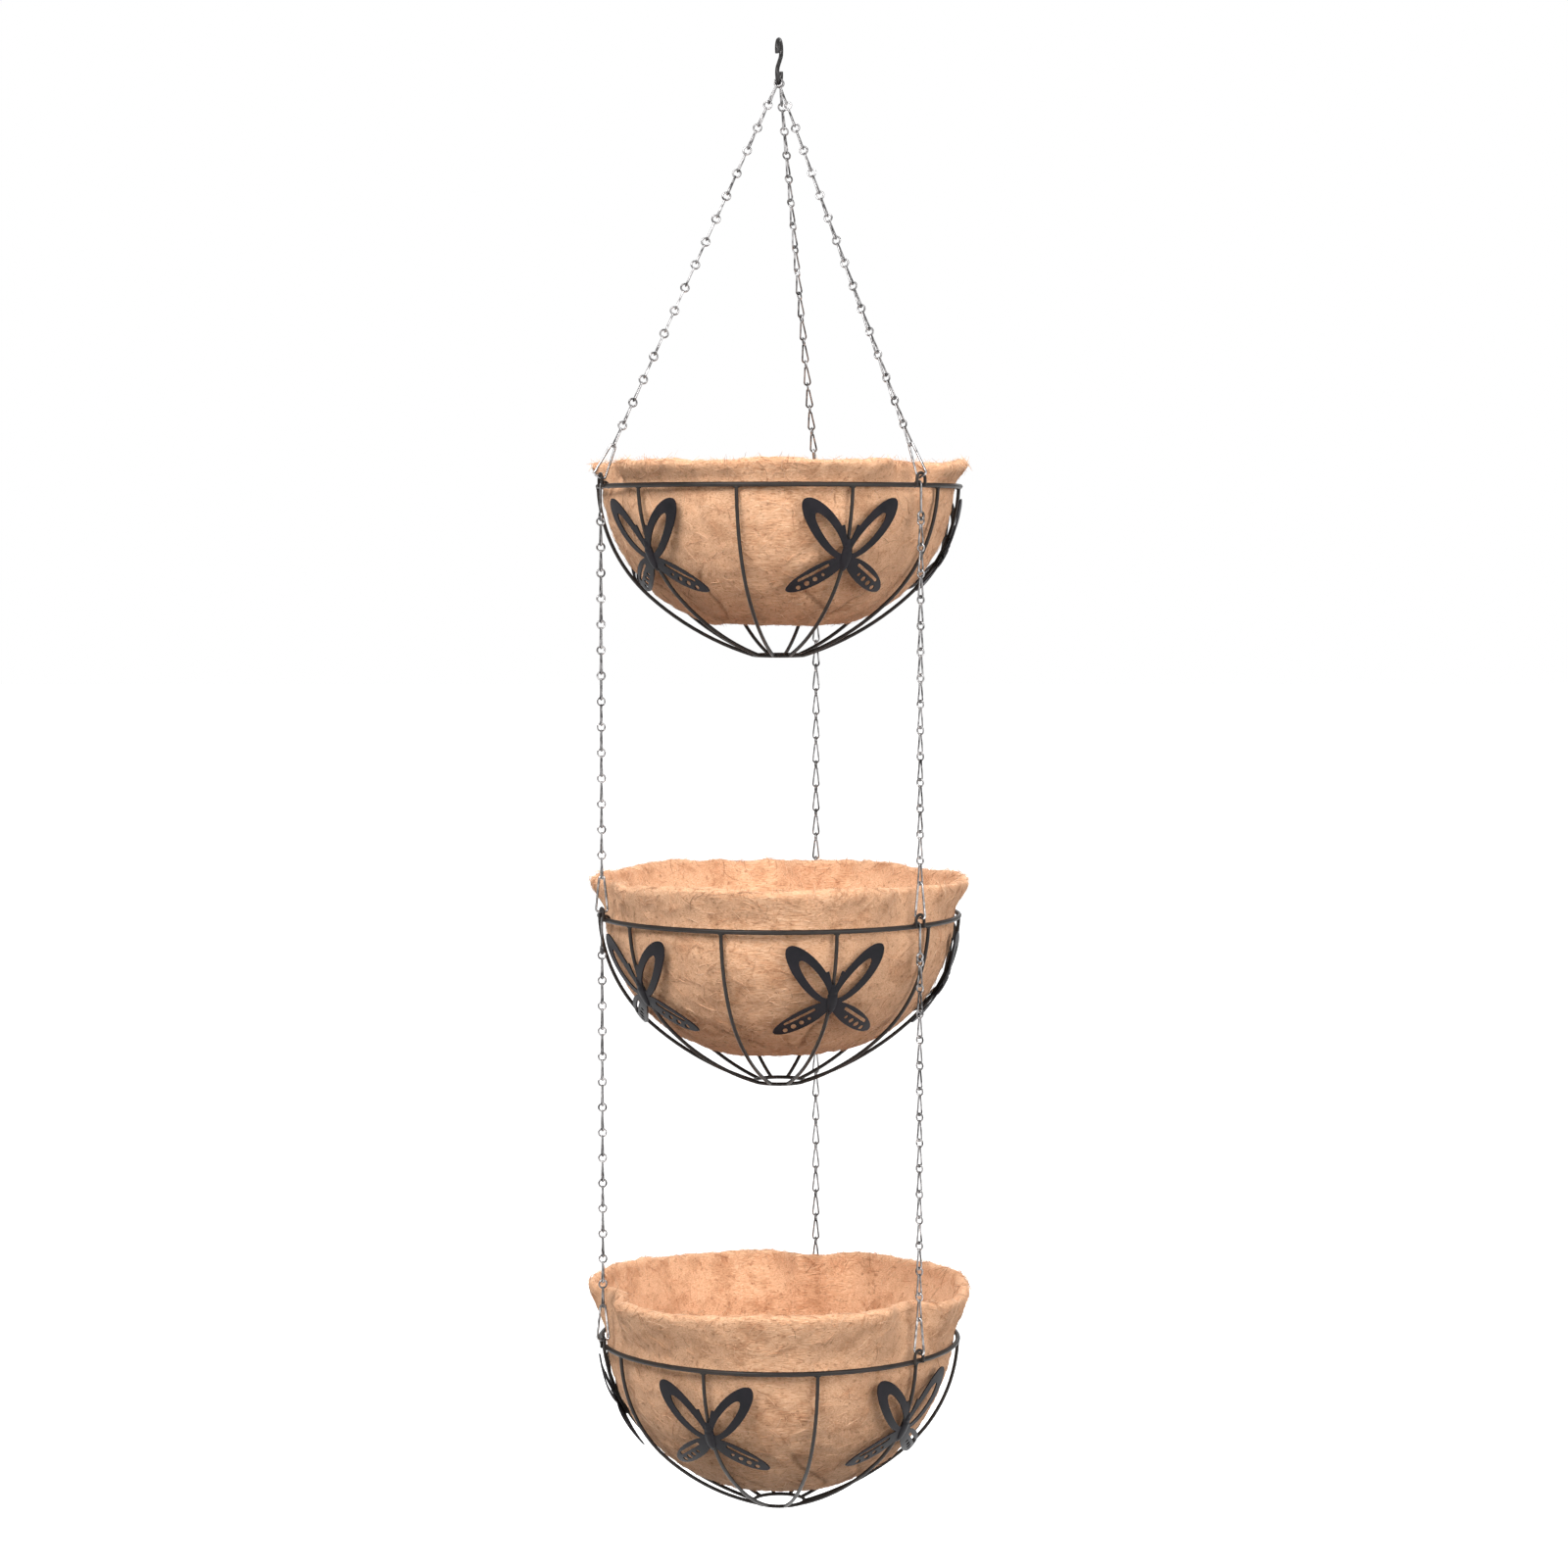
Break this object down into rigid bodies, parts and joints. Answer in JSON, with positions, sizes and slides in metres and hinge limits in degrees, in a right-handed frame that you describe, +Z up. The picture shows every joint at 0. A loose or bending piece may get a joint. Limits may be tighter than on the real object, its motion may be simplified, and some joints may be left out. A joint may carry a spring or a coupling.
{
  "type": "hanging basket",
  "caption": "Tiered hanging planter: wire bowls with coir liners and butterfly plates, hung one below another on jack chains from an S-hook.",
  "frame": {"origin": "inner crown of the S-hook's upper bow, where the hanger is hooked on", "axes": "+Z up along the line of the hang; -Y faces the viewer; everything hangs below the origin"},
  "size_m": [0.304, 0.3078, 1.2217],
  "materials": {
    "frame": "black powder coat",
    "plate": "black powder coat, satin",
    "chain": "dark zinc plated wire",
    "coir": "needled coconut fibre mat"
  },
  "bodies": {
    "hanger_hook": {"s_hook": "chain"},
    "upper_tier": {"upper_rim": "frame", "upper_ribs": "frame", "upper_foot_ring": "frame", "upper_eyes": "frame", "upper_butterflies": "plate", "upper_liner": "coir", "cone_chain_back": "chain", "cone_clip_back": "chain", "cone_chain_left": "chain", "cone_clip_left": "chain", "cone_chain_right": "chain", "cone_clip_right": "chain"},
    "middle_drop_back": {"middle_hook_back": "chain", "middle_chain_back": "chain", "middle_clip_back": "chain"},
    "middle_drop_left": {"middle_hook_left": "chain", "middle_chain_left": "chain", "middle_clip_left": "chain"},
    "middle_drop_right": {"middle_hook_right": "chain", "middle_chain_right": "chain", "middle_clip_right": "chain"},
    "middle_tier": {"middle_rim": "frame", "middle_ribs": "frame", "middle_foot_ring": "frame", "middle_eyes": "frame", "middle_butterflies": "plate", "middle_liner": "coir"},
    "lower_drop_back": {"lower_hook_back": "chain", "lower_chain_back": "chain", "lower_clip_back": "chain"},
    "lower_drop_left": {"lower_hook_left": "chain", "lower_chain_left": "chain", "lower_clip_left": "chain"},
    "lower_drop_right": {"lower_hook_right": "chain", "lower_chain_right": "chain", "lower_clip_right": "chain"},
    "lower_tier": {"lower_rim": "frame", "lower_ribs": "frame", "lower_foot_ring": "frame", "lower_eyes": "frame", "lower_butterflies": "plate", "lower_liner": "coir"}
  },
  "joints": [
    {"name": "hanger_swing", "type": "hinge", "parent": "hanger_hook", "child": "upper_tier", "pos_m": [0, 0, -0.03375], "axis": [0.2079, 0.9781, 0], "range_deg": [-20, 20]},
    {"name": "middle_swing", "type": "hinge", "parent": "upper_tier", "child": "middle_drop_back", "pos_m": [0.03119, 0.14672, -0.365], "axis": [0.2079, 0.9781, 0], "range_deg": [-6, 6]},
    {"name": "middle_swing_left", "type": "hinge", "parent": "upper_tier", "child": "middle_drop_left", "pos_m": [-0.14266, -0.04635, -0.365], "axis": [0.2079, 0.9781, 0], "range_deg": [-6, 6]},
    {"name": "middle_swing_right", "type": "hinge", "parent": "upper_tier", "child": "middle_drop_right", "pos_m": [0.11147, -0.10037, -0.365], "axis": [0.2079, 0.9781, 0], "range_deg": [-6, 6]},
    {"name": "middle_level", "type": "hinge", "parent": "middle_drop_back", "child": "middle_tier", "pos_m": [0.03187, 0.14995, -0.71282], "axis": [0.2079, 0.9781, 0], "range_deg": [-6, 6]},
    {"name": "lower_swing", "type": "hinge", "parent": "middle_tier", "child": "lower_drop_back", "pos_m": [0.03119, 0.14672, -0.721], "axis": [0.2079, 0.9781, 0], "range_deg": [-6, 6]},
    {"name": "lower_swing_left", "type": "hinge", "parent": "middle_tier", "child": "lower_drop_left", "pos_m": [-0.14266, -0.04635, -0.721], "axis": [0.2079, 0.9781, 0], "range_deg": [-6, 6]},
    {"name": "lower_swing_right", "type": "hinge", "parent": "middle_tier", "child": "lower_drop_right", "pos_m": [0.11147, -0.10037, -0.721], "axis": [0.2079, 0.9781, 0], "range_deg": [-6, 6]},
    {"name": "lower_level", "type": "hinge", "parent": "lower_drop_back", "child": "lower_tier", "pos_m": [0.03187, 0.14995, -1.06882], "axis": [0.2079, 0.9781, 0], "range_deg": [-6, 6]}
  ],
  "couplings": [
    {"joint": "middle_swing_left", "follows": "middle_swing", "ratio": 1},
    {"joint": "middle_swing_right", "follows": "middle_swing", "ratio": 1},
    {"joint": "middle_level", "follows": "middle_swing", "ratio": -1},
    {"joint": "lower_swing_left", "follows": "lower_swing", "ratio": 1},
    {"joint": "lower_swing_right", "follows": "lower_swing", "ratio": 1},
    {"joint": "lower_level", "follows": "lower_swing", "ratio": -1}
  ]
}
